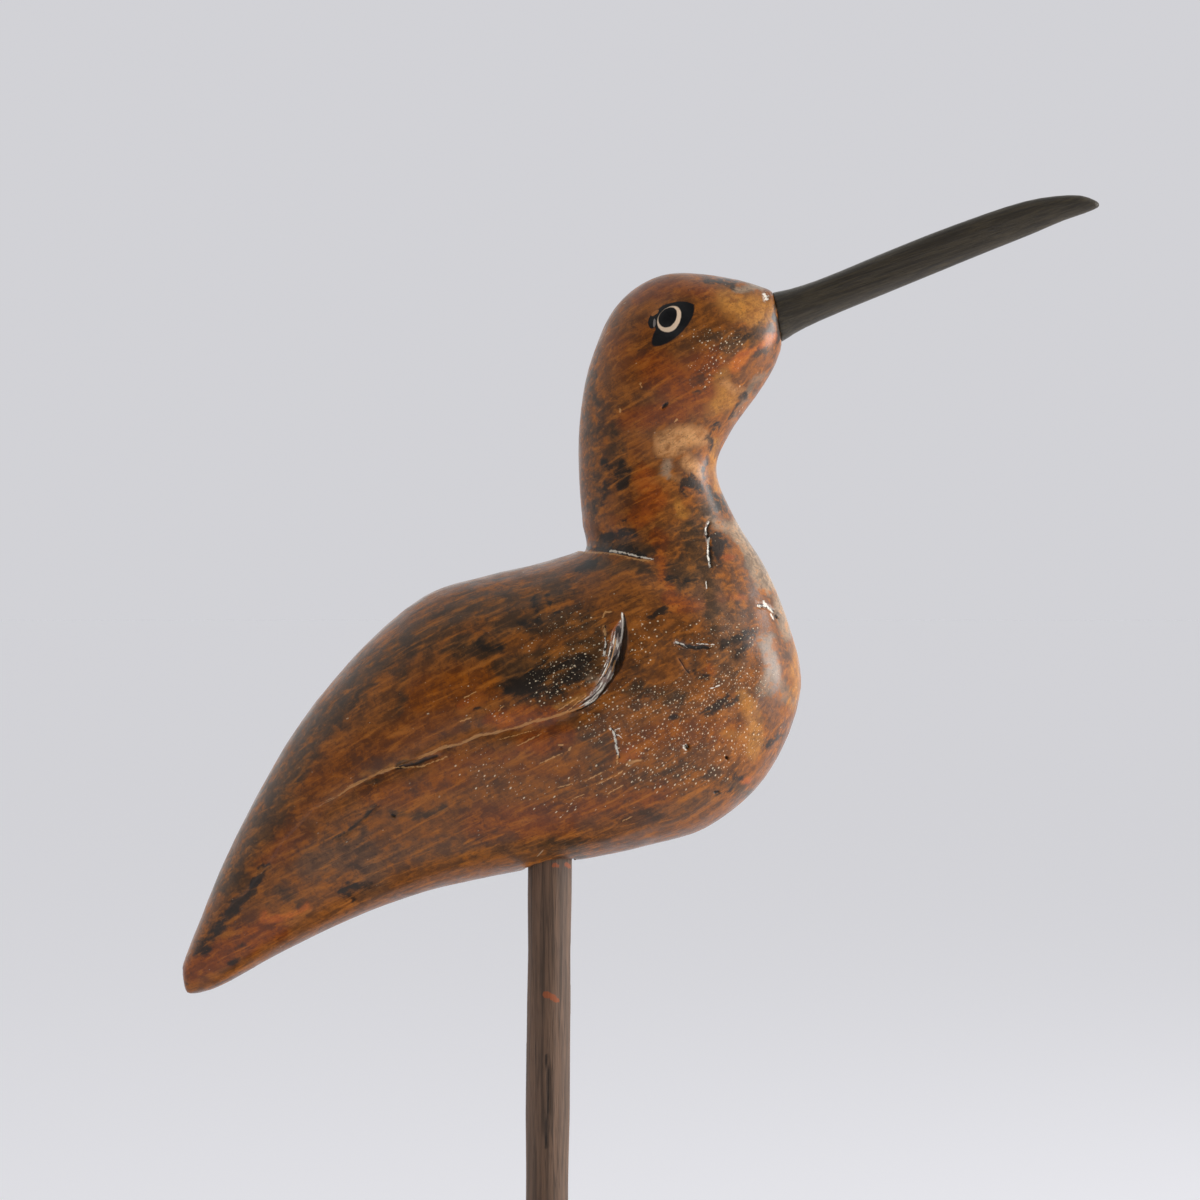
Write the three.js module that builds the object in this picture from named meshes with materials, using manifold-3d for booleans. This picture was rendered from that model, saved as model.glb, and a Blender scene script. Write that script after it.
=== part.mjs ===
// A carved wooden shorebird on a stick, which stands in a low wooden block.
// Millimetres, +Z up. The bird faces +X, its side view lies in the XZ plane, and Y runs across it.
// The origin is the middle of the block's underside, at the foot of the stick.
import * as THREE from "three";
import { mergeVertices } from "three/addons/utils/BufferGeometryUtils.js";
import Module from "manifold-3d";

const wasm = await Module();
wasm.setup();

// Driving dimensions
const FIT_GAP = 0.3; // air left round a piece that is set into another
const BLOCK = { length: 124, width: 92, height: 22, corner: 9, ease: 2.5 };
const STICK = { radius: 6.25, free: 150, inBlock: 14, inBird: 22, leanDegrees: 0.5 };
const BILL_PLUG = { depth: 6, share: 0.55, lap: 1.5 }; // the bill's root, whittled down to go into the head
const EYE = { forward: 33, up: 151.5, radius: 4.5, height: 0.9 }; // a low dome on each side of the head

// Sections of the bird, from the tail's end to the face that takes the bill. Each is cut from a point
// on the back to a point on the belly line, both [forward, up] from where the stick enters the belly.
const BIRD_SECTIONS = [
  { back: [-102.7, -29.1], belly: [-101.6, -37] }, // 0, end of the tail
  { back: [-99.7, -21.3], belly: [-94.1, -35.3] },
  { back: [-90.7, 0.6], belly: [-74.5, -24.7] },
  { back: [-73.6, 33], belly: [-50.4, -13.5] }, // 3, root of the tail
  { back: [-56, 55.9], belly: [-29.4, -6.6] },
  { back: [-34.9, 74.4], belly: [-8.4, -2.3] },
  { back: [-16.8, 80.3], belly: [8.4, 0.8] }, // 6, middle of the back
  { back: [-1.4, 83.9], belly: [26.6, 4.6] },
  { back: [6.7, 86.3], belly: [44.2, 10.1] },
  { back: [8.7, 87.1], belly: [60.3, 24.1] },
  { back: [9.2, 87.4], belly: [70.1, 48.2] }, // 10, front of the breast
  { back: [9.5, 87.6], belly: [67.1, 65] },
  { back: [9.5, 87.8], belly: [60.5, 81.5] }, // 12, the shoulder, where the neck is cut in
  { back: [9.2, 95.8], belly: [51.8, 95.8] },
  { back: [8.1, 111.2], belly: [46.3, 110.3] }, // 14, the slimmest of the neck
  { back: [8.7, 125.2], belly: [50.3, 120.4] },
  { back: [11.7, 140.8], belly: [58.2, 131.6] },
  { back: [19.6, 156.7], belly: [62.9, 139.4] }, // 17, back of the head
  { back: [32.2, 164.4], belly: [64.3, 143.2] },
  { back: [52.4, 162.8], belly: [64.7, 144.6] },
  { back: [62.4, 159.8], belly: [64.9, 145.1] }, // 20, face that takes the bill
];
const SHOULDER = 12;
const SHOULDER_CUT = 0.08; // the cut above the shoulder leans by this share of a section

// How those sections change along the bird, as [section, value] pairs
const HALF_WIDTH = through(
  [0, 4], [1, 7], [2, 12.5], [3, 18], [4, 23], [5, 26.6], [6, 28.6], [7, 29.4], [8, 29], [9, 27.4],
  [10, 24.4], [11, 20.8], [12, 17.6], [13, 14.9], [14, 13.6], [15, 14], [16, 14.9], [17, 14.6],
  [18, 12.9], [19, 9], [20, 6.3],
);
const WIDEST_AT = through([0, 0.5], [3, 0.48], [6, 0.5], [8, 0.5], [10, 0.45], [12, 0.38], [14, 0.44], [20, 0.5]);
const BODY_BACK = straight([0, 2.4], [3, 2.2], [7, 2.15], [11, 2.3], [12, 3]);
const NECK_BACK = straight([12, 1.9], [15, 2.05], [20, 2.2]);
const UNDERSIDE = through([0, 2.4], [3, 2], [6, 2], [10, 2.15], [13, 2.1], [20, 2.2]);

// The cut round the wing: how far down its section it runs, its depth, and the width of its two walls
const WING_LINE = through(
  [0, 0.42], [1, 0.34], [2, 0.42], [3, 0.42], [4, 0.45], [5, 0.47], [6, 0.53], [7, 0.5], [8, 0.38],
  [9, 0.27], [10, 0.25], [12, 0.28], [14, 0.4], [20, 0.45],
);
const WING_CUT_DEPTH = straight([0, 0], [1, 0.3], [3, 0.4], [5, 0.6], [6, 0.9], [7, 1.3], [8, 1.6], [9, 0], [20, 0]);
const WING_WALL = through([0, 1.5], [5, 1.5], [6, 2], [7, 3.6], [8, 4], [9, 2], [20, 2]);
const FLANK_WALL = through([0, 2.5], [5, 3], [6, 2.5], [7, 1.6], [8, 1.2], [9, 1.4], [20, 2]);

// Sections of the bill, from the head to its tip: top and bottom points as above, and half its width
const BILL_SECTIONS = [
  { back: [62.7, 159.6], belly: [65.2, 145.4], half: 5.8 },
  { back: [67.2, 160.6], belly: [68.2, 147.6], half: 5.3 },
  { back: [74.2, 162.9], belly: [75.4, 151.3], half: 4.9 },
  { back: [88.2, 168.6], belly: [90, 157.5], half: 4.6 },
  { back: [105, 175.4], belly: [107.5, 164.6], half: 4.2 },
  { back: [121.8, 181.7], belly: [124.6, 171.6], half: 3.7 },
  { back: [133, 185.2], belly: [135.8, 176.1], half: 3.2 },
  { back: [141.4, 186.7], belly: [143.9, 179.5], half: 2.8 },
  { back: [148.4, 186.8], belly: [149.8, 181.5], half: 2.3 },
  { back: [152.6, 185.5], belly: [153.1, 182.9], half: 1.6 },
  { back: [153.9, 184.5], belly: [154, 183.6], half: 0.8 },
];
const BILL_ROUND = 2.6;

// Fineness of the meshes
const STEPS_PER_SECTION = 4;
const LINES_ABOVE_WING = 8;
const LINES_BELOW_WING = 9;
const BILL_LINES = 9;
const ROUND_SIDES = 20;

const BLOCK_TOP = BLOCK.height;
const LEAN = THREE.MathUtils.degToRad(STICK.leanDegrees);
const BIRD_AT = new THREE.Vector3(Math.sin(LEAN) * STICK.free, 0, BLOCK_TOP + Math.cos(LEAN) * STICK.free);

// A curve through [section, value] pairs, to be read at any place between the sections.
function read(Interpolant, pairs) {
  const curve = new Interpolant(
    pairs.map(([section]) => section),
    pairs.map(([, value]) => value),
    1,
  );
  return (place) => curve.evaluate(place)[0];
}

function through(...pairs) {
  return read(THREE.CubicInterpolant, pairs);
}

function straight(...pairs) {
  return read(THREE.LinearInterpolant, pairs);
}

// The line through all the sections' points on one side of the outline, read at any place.
function outline(sections, side) {
  const points = sections.map((section) => new THREE.Vector3(section[side][0], 0, section[side][1]));
  const curve = new THREE.CatmullRomCurve3(points);
  return (place) => curve.getPoint(place / (sections.length - 1));
}

// A section is made of two half superellipses that meet at its widest line. For an angle from 0 at the
// back to pi at the belly, this is [share of the way down, share of the half width].
function sectionPoint(angle, { widest, backRound, underRound }) {
  const power = 2 / (angle < Math.PI / 2 ? backRound : underRound);
  const across = Math.sin(angle) ** power;
  const along = Math.abs(Math.cos(angle)) ** power;
  return angle < Math.PI / 2 ? [widest * (1 - along), across] : [widest + (1 - widest) * along, across];
}

// The angle whose point lies the given share of the way down.
function angleAt(down, { widest, backRound, underRound }) {
  if (down < widest) return Math.acos((1 - down / widest) ** (backRound / 2));
  return Math.acos(-(((down - widest) / (1 - widest)) ** (underRound / 2)));
}

// Evenly spaced numbers from one value to another, with both ends.
function spread(from, to, steps) {
  return Array.from({ length: steps + 1 }, (_, i) => from + ((to - from) * i) / steps);
}

// A closed ring of points from [share down, half width] pairs, down one side and up the other.
function ring(back, belly, halfPoints) {
  const oneSide = halfPoints.map(([down, half]) => back.clone().lerp(belly, down).setY(-half));
  const otherSide = oneSide.slice(1, -1).reverse();
  return [...oneSide, ...otherSide.map((point) => point.clone().setY(-point.y))];
}

const birdBack = outline(BIRD_SECTIONS, "back");
const birdBelly = outline(BIRD_SECTIONS, "belly");

// The bird's section at any place, with the cut round the wing in both sides of it.
function birdRing(place, backRound) {
  const back = birdBack(place);
  const belly = birdBelly(place);
  const shape = { widest: WIDEST_AT(place), backRound, underRound: UNDERSIDE(place) };
  const depth = back.distanceTo(belly);
  const wing = WING_LINE(place);
  const aboveCut = angleAt(wing - WING_WALL(place) / depth, shape);
  const belowCut = angleAt(wing + FLANK_WALL(place) / depth, shape);
  const angles = [
    ...spread(0, aboveCut, LINES_ABOVE_WING),
    angleAt(wing, shape),
    ...spread(belowCut, Math.PI, LINES_BELOW_WING),
  ];
  const halfPoints = angles.map((angle, line) => {
    const [down, across] = sectionPoint(angle, shape);
    const cut = line === LINES_ABOVE_WING + 1 ? WING_CUT_DEPTH(place) : 0;
    return [down, HALF_WIDTH(place) * across - cut];
  });
  return ring(back, belly, halfPoints);
}

// A closed surface over a row of rings that have the same number of points.
function loft(rings) {
  const size = rings[0].length;
  const centres = [rings[0], rings.at(-1)].map((points) =>
    points.reduce((sum, point) => sum.add(point), new THREE.Vector3()).divideScalar(size),
  );
  const positions = [...rings.flat(), ...centres].flatMap((point) => point.toArray());
  const first = rings.length * size;
  const index = [];
  for (let i = 0; i < size; i += 1) {
    const next = (i + 1) % size;
    for (let row = 0; row < rings.length - 1; row += 1) {
      const here = row * size;
      const ahead = here + size;
      index.push(here + i, here + next, ahead + i, here + next, ahead + next, ahead + i);
    }
    const last = first - size;
    index.push(next, i, first, last + i, last + next, first + 1);
  }
  const geometry = new THREE.BufferGeometry();
  geometry.setAttribute("position", new THREE.Float32BufferAttribute(positions, 3));
  return geometry.setIndex(index);
}

// A closed geometry as a solid that can be joined and cut.
function solid(geometry) {
  const bare = geometry.clone();
  bare.deleteAttribute("normal");
  bare.deleteAttribute("uv");
  const merged = mergeVertices(bare);
  return new wasm.Manifold(
    new wasm.Mesh({
      numProp: 3,
      vertProperties: merged.attributes.position.array,
      triVerts: new Uint32Array(merged.index.array),
    }),
  );
}

function geometryOf(body) {
  const mesh = body.getMesh();
  const geometry = new THREE.BufferGeometry();
  geometry.setAttribute("position", new THREE.Float32BufferAttribute(mesh.vertProperties, 3));
  geometry.setIndex([...mesh.triVerts]);
  const shown = geometry.toNonIndexed();
  shown.computeVertexNormals();
  return shown;
}

// A round bar along the stick's own line, from one distance above the block's top to another.
function stickBar(radiusAt, from, to) {
  const heights = spread(from, to, 12);
  const profile = [
    new THREE.Vector2(0, from),
    ...heights.map((height) => new THREE.Vector2(radiusAt(height), height)),
    new THREE.Vector2(0, to),
  ];
  return new THREE.LatheGeometry(profile, ROUND_SIDES)
    .rotateX(Math.PI / 2)
    .rotateY(LEAN)
    .translate(0, 0, BLOCK_TOP);
}

// The stick is whittled, so it swells and thins a little along its length.
function whittled(height) {
  return STICK.radius + 0.12 * Math.sin(height / 11) + 0.08 * Math.sin(height / 4.3 + 1);
}

function stick() {
  return stickBar(whittled, -STICK.inBlock, STICK.free + STICK.inBird);
}

// The hole that the stick goes into, with air round it and at its end.
function stickHole() {
  const roomy = (height) => whittled(height) + FIT_GAP;
  return stickBar(roomy, -STICK.inBlock - FIT_GAP, STICK.free + STICK.inBird + FIT_GAP);
}

function block() {
  const { length, width, height, corner, ease } = BLOCK;
  const [x, y] = [length / 2 - ease, width / 2 - ease];
  const plan = new THREE.Shape();
  plan.absarc(x - corner, y - corner, corner, 0, Math.PI / 2);
  plan.absarc(corner - x, y - corner, corner, Math.PI / 2, Math.PI);
  plan.absarc(corner - x, corner - y, corner, Math.PI, Math.PI * 1.5);
  plan.absarc(x - corner, corner - y, corner, Math.PI * 1.5, Math.PI * 2);
  plan.closePath();
  const slab = new THREE.ExtrudeGeometry(plan, {
    depth: height - 2 * ease,
    bevelThickness: ease,
    bevelSize: ease,
    bevelSegments: 3,
    curveSegments: 5,
  }).translate(0, 0, ease);
  return geometryOf(solid(slab).subtract(solid(stickHole())));
}

const billTop = outline(BILL_SECTIONS, "back");
const billBottom = outline(BILL_SECTIONS, "belly");
const billHalf = through(...BILL_SECTIONS.map(({ half }, section) => [section, half]));

function billRing(place) {
  const shape = { widest: 0.5, backRound: BILL_ROUND, underRound: BILL_ROUND };
  const halfPoints = spread(0, Math.PI, BILL_LINES).map((angle) => {
    const [down, across] = sectionPoint(angle, shape);
    return [down, billHalf(place) * across];
  });
  return ring(billTop(place), billBottom(place), halfPoints);
}

// The tapered plug that runs back from inside the bill's root, grown by some air where it is to be a hole.
function plugRings(air) {
  const root = billRing(0);
  const centre = root.reduce((sum, point) => sum.add(point), new THREE.Vector3()).divideScalar(root.length);
  const upright = billTop(0).sub(billBottom(0)).normalize();
  const outward = new THREE.Vector3(upright.z, 0, -upright.x);
  const sized = (share, distance) =>
    root.map((point) => {
      const arm = point.clone().sub(centre);
      return centre
        .clone()
        .addScaledVector(arm, share + air / arm.length())
        .addScaledVector(outward, distance);
    });
  const { depth, share, lap } = BILL_PLUG;
  return [sized(share * 0.8, -depth - air), sized(share, lap)];
}

function bill() {
  const places = spread(0, BILL_SECTIONS.length - 1, (BILL_SECTIONS.length - 1) * 2);
  const blade = solid(loft(places.map(billRing)));
  const plug = solid(loft(plugRings(0)));
  return geometryOf(blade.add(plug));
}

// A ball that stands out of the head by the eye's height, on the side given as -1 or 1.
function eye(head, side) {
  const from = new THREE.Vector3(EYE.forward, side * BLOCK.width, EYE.up);
  const [hit] = new THREE.Raycaster(from, new THREE.Vector3(0, -side, 0)).intersectObject(new THREE.Mesh(head));
  const ballRadius = (EYE.radius ** 2 + EYE.height ** 2) / (2 * EYE.height);
  const centre = hit.point.addScaledVector(hit.face.normal, EYE.height - ballRadius);
  return solid(new THREE.IcosahedronGeometry(ballRadius, 10).translate(...centre.toArray()));
}

function bird() {
  const bodyPlaces = spread(0, SHOULDER, SHOULDER * STEPS_PER_SECTION);
  const neckSections = BIRD_SECTIONS.length - 1 - SHOULDER;
  const neckPlaces = spread(SHOULDER + SHOULDER_CUT, BIRD_SECTIONS.length - 1, neckSections * STEPS_PER_SECTION);
  const carved = loft([
    ...bodyPlaces.map((place) => birdRing(place, BODY_BACK(place))),
    ...neckPlaces.map((place) => birdRing(place, NECK_BACK(place))),
  ]);
  const hole = stickHole().translate(-BIRD_AT.x, -BIRD_AT.y, -BIRD_AT.z);
  return geometryOf(
    solid(carved)
      .add(eye(carved, -1))
      .add(eye(carved, 1))
      .subtract(solid(loft(plugRings(FIT_GAP))))
      .subtract(solid(hole)),
  );
}

const woods = {
  bird: new THREE.MeshStandardMaterial({ color: 0x6b4423, roughness: 0.35, metalness: 0 }),
  bill: new THREE.MeshStandardMaterial({ color: 0x2b2722, roughness: 0.5, metalness: 0 }),
  stick: new THREE.MeshStandardMaterial({ color: 0x5c463a, roughness: 0.6, metalness: 0 }),
  block: new THREE.MeshStandardMaterial({ color: 0x4a3326, roughness: 0.55, metalness: 0 }),
};

function piece(name, geometry, material) {
  const mesh = new THREE.Mesh(geometry, material);
  mesh.name = name;
  return mesh;
}

const figure = new THREE.Group();
figure.position.copy(BIRD_AT);
figure.add(piece("carved_bird", bird(), woods.bird));
figure.add(piece("bill", bill(), woods.bill));

const standingBird = new THREE.Group();
standingBird.add(figure);
standingBird.add(piece("stick", stick(), woods.stick));
standingBird.add(piece("block", block(), woods.block));

export default standingBird;
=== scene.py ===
"""Carved wooden shorebird on a whittled stick in a low wooden block: the finish of every surface.

Places on the bird are [forward, up] in millimetres from where the stick enters the belly, as they
look from its side. The bird's right side, at -Y, is the one that is seen.
"""
import copy
from math import atan2, cos, pi, radians, sin

import bpy
import numpy as np
from mathutils import Matrix, Vector, noise


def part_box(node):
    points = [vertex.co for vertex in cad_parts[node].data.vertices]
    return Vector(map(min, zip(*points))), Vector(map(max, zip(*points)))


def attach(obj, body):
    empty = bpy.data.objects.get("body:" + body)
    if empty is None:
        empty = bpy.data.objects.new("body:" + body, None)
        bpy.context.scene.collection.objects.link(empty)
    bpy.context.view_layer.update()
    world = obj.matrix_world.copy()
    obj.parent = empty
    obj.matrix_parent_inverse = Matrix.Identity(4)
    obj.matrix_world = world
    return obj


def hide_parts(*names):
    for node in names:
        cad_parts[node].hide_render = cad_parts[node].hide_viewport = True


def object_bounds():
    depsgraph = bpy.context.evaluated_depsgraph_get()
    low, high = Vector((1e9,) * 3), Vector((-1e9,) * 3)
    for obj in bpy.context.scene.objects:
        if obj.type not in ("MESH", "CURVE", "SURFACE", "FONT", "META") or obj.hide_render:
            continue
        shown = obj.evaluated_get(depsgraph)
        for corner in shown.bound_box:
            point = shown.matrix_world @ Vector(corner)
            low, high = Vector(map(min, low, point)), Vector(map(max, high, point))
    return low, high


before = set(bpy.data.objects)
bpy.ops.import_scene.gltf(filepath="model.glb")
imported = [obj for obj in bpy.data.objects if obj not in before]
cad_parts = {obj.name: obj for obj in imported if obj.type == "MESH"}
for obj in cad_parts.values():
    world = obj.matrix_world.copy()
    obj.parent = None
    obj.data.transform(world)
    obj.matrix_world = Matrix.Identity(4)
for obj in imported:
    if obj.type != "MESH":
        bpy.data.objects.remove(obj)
cad_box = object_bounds()

MM = 0.001

STICK_FREE = 150 * MM
STICK_LEAN = radians(0.5)
BLOCK_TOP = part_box("block")[1][2]
ENTRY = Vector((sin(STICK_LEAN) * STICK_FREE, 0, BLOCK_TOP + cos(STICK_LEAN) * STICK_FREE))

# Size of the faces that each piece is carved in
BIRD_CELL = 1.15 * MM
BILL_CELL = 0.5 * MM
STICK_CELL = 0.6 * MM
BLOCK_CELL = 1.2 * MM

# The camera sees a field this wide at the bird, from this far off
MIDDLE = (14, 73.4)
FIELD_WIDTH = 336 * MM
FIELD_CENTRE = ENTRY + Vector((MIDDLE[0], 0, MIDDLE[1])) * MM
CAMERA_DISTANCE = 1.4
SENSOR_WIDTH = 36.0

# Light of the pale room: even round the sides, dark in front of the bird, a little less from behind
# and from above, and a little more from the right
PALE = (0.93, 0.93, 0.975)
ROOM_EVEN = 1.1
ROOM_FRONT = -1.07
ROOM_BEHIND = -0.15
ROOM_ABOVE = -0.3
ROOM_RIGHT = 0.1
FLOOR_LIGHT = ROOM_EVEN + (ROOM_FRONT + ROOM_BEHIND) * 2 / (3 * pi) + ROOM_ABOVE / 2
WINDOW = {"place": (1.55, -0.12, 0.42), "width": 0.5, "height": 1.2, "power": 20}

RIGHT, LEFT, BOTH = -1, 1, 0

# Way that the wood grows, out through the bird's right side, and way that its stains were wiped
WOOD_GRAIN = Vector((0.55, -0.68, 0.42))
WIPED = Vector((0.88, -0.1, 0.46))

# How much fuller the finished bird is than the solid once its faces are evened out
FULLNESS = 0.3

# The cuts of the carving, as lines on the bird's side, with the depth at each point
WING_EDGE = [
    (9, 43), (1, 40.6), (-10, 37.4), (-20, 35.2), (-30, 31.8), (-40, 28), (-48, 25), (-56, 20.8),
    (-66, 15), (-74.6, 5.8), (-80.4, -3), (-89.6, -13), (-96, -23),
]
WING_EDGE_DEPTH = [0.2, 0.35, 0.5, 0.5, 0.6, 0.8, 0.7, 0.5, 0.3, 0.3, 0.3, 0.2, 0]
SHOULDER = [(8, 87.6), (10, 87.5), (14, 87.5), (18, 87.1), (24.9, 85.4), (29.5, 84.6)]
SHOULDER_DEPTH = [1.2, 1.6, 2.2, 2.2, 1.5, 0]
GOUGE = [
    (20.6, 70.2), (21, 67.4), (20.9, 64.5), (20.4, 61), (19.7, 57.5), (18.5, 54), (17, 50.9),
    (15, 47.9), (12.4, 45.2), (9, 43), (5, 41.6),
]
GOUGE_DEPTH = [0, 1.2, 2.0, 2.4, 2.5, 2.2, 1.7, 1.2, 0.8, 0.5, 0]
GOUGE_WING_WALL = [0.3, 1.8, 3.6, 4.0, 3.9, 3.7, 3.4, 3.2, 2.6, 1.6, 0.6]
GOUGE_FRONT_WALL = [0.15, 0.5, 1.1, 1.7, 1.8, 1.4, 0.9, 0.6, 0.5, 0.4, 0.2]
# Torn fibres in the gouge: how far behind its deepest line they run, half their width, where they
# start and end along the gouge, and their paint. The last one is a painted highlight on the wing's wall.
FIBRES = [
    (0.55, 0.42, -0.2, 3.9, "bare"),
    (0.6, 0.35, 4.2, 5.6, "torn"),
    (2.2, 0.32, 2.4, 6.0, "torn"),
    # Painted highlight on the gouge's wall on the wing's side
    (3.3, 0.35, 3.4, 5.4, "bare"),
]

# Splits and dents: name, side, line, half width, depth, how much darker they are painted
NICKS = [
    ("split below the gouge", RIGHT, [(16.9, 37.4), (18.1, 36.1), (18.5, 32.8), (19.2, 29.4)], 0.5, 0.35, 1.0),
    ("flake by the gouge", RIGHT, [(15.3, 66), (15.5, 60.2), (15, 58)], 0.6, 0.3, 0.8),
    ("knife slip on the breast", RIGHT, [(35.4, 61.6), (38.6, 60.2), (44, 60)], 0.9, 0.6, 1.0),
    ("second slip", RIGHT, [(36, 57), (37.6, 54.6), (39, 53)], 0.4, 0.3, 0.8),
    ("split in the neck", RIGHT, [(44.5, 95), (43.7, 92.6), (44.4, 89), (44.9, 82.6)], 0.55, 0.5, 1.0),
    ("scratch below it", RIGHT, [(43.6, 78.8), (43.8, 76)], 0.3, 0.2, 0.5),
    ("flank line", RIGHT, [(-48.6, 16), (-53, 11.6), (-59, 7)], 1.6, 0.35, 0.45),
    ("hollow under the wing", RIGHT, [(-43, 26.6), (-38, 27.4), (-32, 29.6)], 1.5, 0.5, 0.65),
    ("hole on the flank", RIGHT, [(-44.2, 13.4), (-43.4, 13)], 0.5, 0.6, 1.0),
    ("worm hole", RIGHT, [(38.3, 32.2), (38.5, 32.1)], 0.95, 2.0, 1.3),
    ("small worm hole", RIGHT, [(49.4, 29.1), (49.5, 29)], 0.6, 1.2, 1.3),
    ("hole in the cheek", RIGHT, [(31.6, 127.2), (32.4, 128.4)], 0.6, 0.5, 1.0),
    ("chip by the bill", RIGHT, [(60.3, 158.6), (60.7, 157.6)], 0.9, 0.3, 0.5),
    ("chip on the breast", RIGHT, [(58.4, 71.8), (60.4, 71.6), (62.2, 70.4)], 0.8, 0.4, 0.8),
    ("hole under the chip", RIGHT, [(63.2, 68.8), (63.4, 68.6)], 0.7, 0.9, 1.2),
    ("bruise on the belly", RIGHT, [(21.2, 27.6), (23.4, 28.2), (25.6, 29.2)], 0.9, -0.15, 0.0),
    ("hole on the wing", RIGHT, [(3, 32.2), (3.1, 32.2)], 0.4, 0.6, 1.0),
    ("hole low on the breast", RIGHT, [(46, 19.6), (47, 19.8)], 0.6, 0.6, 1.0),
    ("split in the other side", LEFT, [(30, 52), (33, 47), (34, 41)], 0.5, 0.4, 1.0),
    ("slip on the other side", LEFT, [(-8, 62), (2, 64.5)], 0.7, 0.35, 0.8),
    ("other worm hole", LEFT, [(12, 30), (12.1, 30)], 0.8, 1.4, 1.3),
]

# Thin pale scratches and splits that show bare wood, and painted highlights along the shoulder's ledge: side, half
# width, line
BARE_AND_LIT_LINES = [
    (RIGHT, 0.18, [(44.5, 95.2), (43.6, 93.4), (43.7, 91.8)]),
    (RIGHT, 0.32, [(44.5, 90.6), (44.2, 88.4), (44.1, 86.2)]),
    (RIGHT, 0.22, [(44.1, 86.4), (44.9, 82.6)]),
    (RIGHT, 0.12, [(43.7, 78.8), (43.8, 76.8)]),
    (RIGHT, 0.3, [(16.9, 37.4), (18.1, 36.1), (18.5, 32.8), (19.1, 30.2)]),
    (RIGHT, 0.14, [(18.1, 36.9), (19.8, 37.6)]),
    (RIGHT, 0.12, [(18.6, 35.8), (20, 35)]),
    (RIGHT, 0.2, [(15.5, 63), (15.5, 60)]),
    (RIGHT, 0.5, [(15, 59.2), (15.1, 58.2)]),
    # These two lines are a painted highlight along the shoulder's ledge, with its wear
    (RIGHT, 0.3, [(16.8, 87.2), (20.4, 86.7)]),
    (RIGHT, 0.2, [(20.4, 86.7), (24, 85.8), (28.8, 84.8)]),
    (RIGHT, 0.75, [(60.4, 158.6), (60.6, 157.8)]),
    (RIGHT, 0.35, [(58.2, 71.7), (60.4, 71.6)]),
    (RIGHT, 0.3, [(59.8, 72.8), (61.2, 71.4), (62.2, 70.2)]),
    (RIGHT, 0.22, [(61.8, 69.6), (62.6, 68)]),
    (RIGHT, 0.5, [(37.6, 32.7), (37.9, 31.8)]),
    (RIGHT, 0.15, [(45, 48.6), (47.4, 49.5)]),
    (RIGHT, 0.22, [(35.3, 61.6), (37, 61.1), (38.4, 60.2)]),
    (RIGHT, 0.12, [(41, 61.2), (46, 60.9)]),
    (LEFT, 0.3, [(30, 52), (33, 47), (34, 41)]),
    (LEFT, 0.25, [(-8, 62), (2, 64.5)]),
]
TORN_LINES = [
    (RIGHT, 0.28, [(19.1, 30.4), (18.8, 27.6)]),
    (RIGHT, 0.42, [(15.2, 65.8), (15.4, 63.6)]),
    (RIGHT, 0.2, [(14.8, 68.6), (15.6, 70.2), (17.4, 70)]),
    (RIGHT, 0.16, [(-3, 27.5), (3.4, 30.5)]),
    (RIGHT, 0.16, [(10, 22.7), (15.5, 25.7)]),
    (RIGHT, 0.16, [(13, 21.7), (17.5, 23.8)]),
    (RIGHT, 0.18, [(18.2, 24), (20.2, 25.4)]),
    (RIGHT, 0.13, [(2.2, 21), (6.4, 22)]),
    (RIGHT, 0.15, [(16, 19), (20.5, 21.6)]),
    (RIGHT, 0.12, [(6, 17.5), (9.5, 19)]),
    (RIGHT, 0.12, [(20.4, 11.5), (23, 12.8)]),
    (RIGHT, 0.14, [(-9, 32.6), (-2.4, 36)]),
    (RIGHT, 0.13, [(-14, 34.4), (-4, 37)]),
    (RIGHT, 0.14, [(-24, 46), (-20.8, 47.6)]),
    (RIGHT, 0.18, [(-14.4, 42.5), (-13, 43.8)]),
    (RIGHT, 0.2, [(-25, 39.4), (-22.2, 40.4)]),
    (RIGHT, 0.3, [(5.2, 31.2), (5.7, 32.2)]),
    (RIGHT, 0.2, [(2.4, 32.8), (3.6, 32.9)]),
    (RIGHT, 0.22, [(-44, 26.4), (-36, 26.8), (-29, 29.4)]),
    (RIGHT, 0.16, [(2, 42.2), (7.6, 46)]),
    (RIGHT, 0.16, [(4.4, 42), (10, 46.6)]),
    (RIGHT, 0.3, [(25.4, 133.9), (25.5, 133.2)]),
    (RIGHT, 0.28, [(19.5, 127), (19.6, 126.2)]),
    (RIGHT, 0.2, [(34.9, 123.2), (35.6, 124)]),
    (LEFT, 0.16, [(-30, 24), (-22, 27)]),
    (LEFT, 0.16, [(10, 18), (16, 21)]),
]
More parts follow.
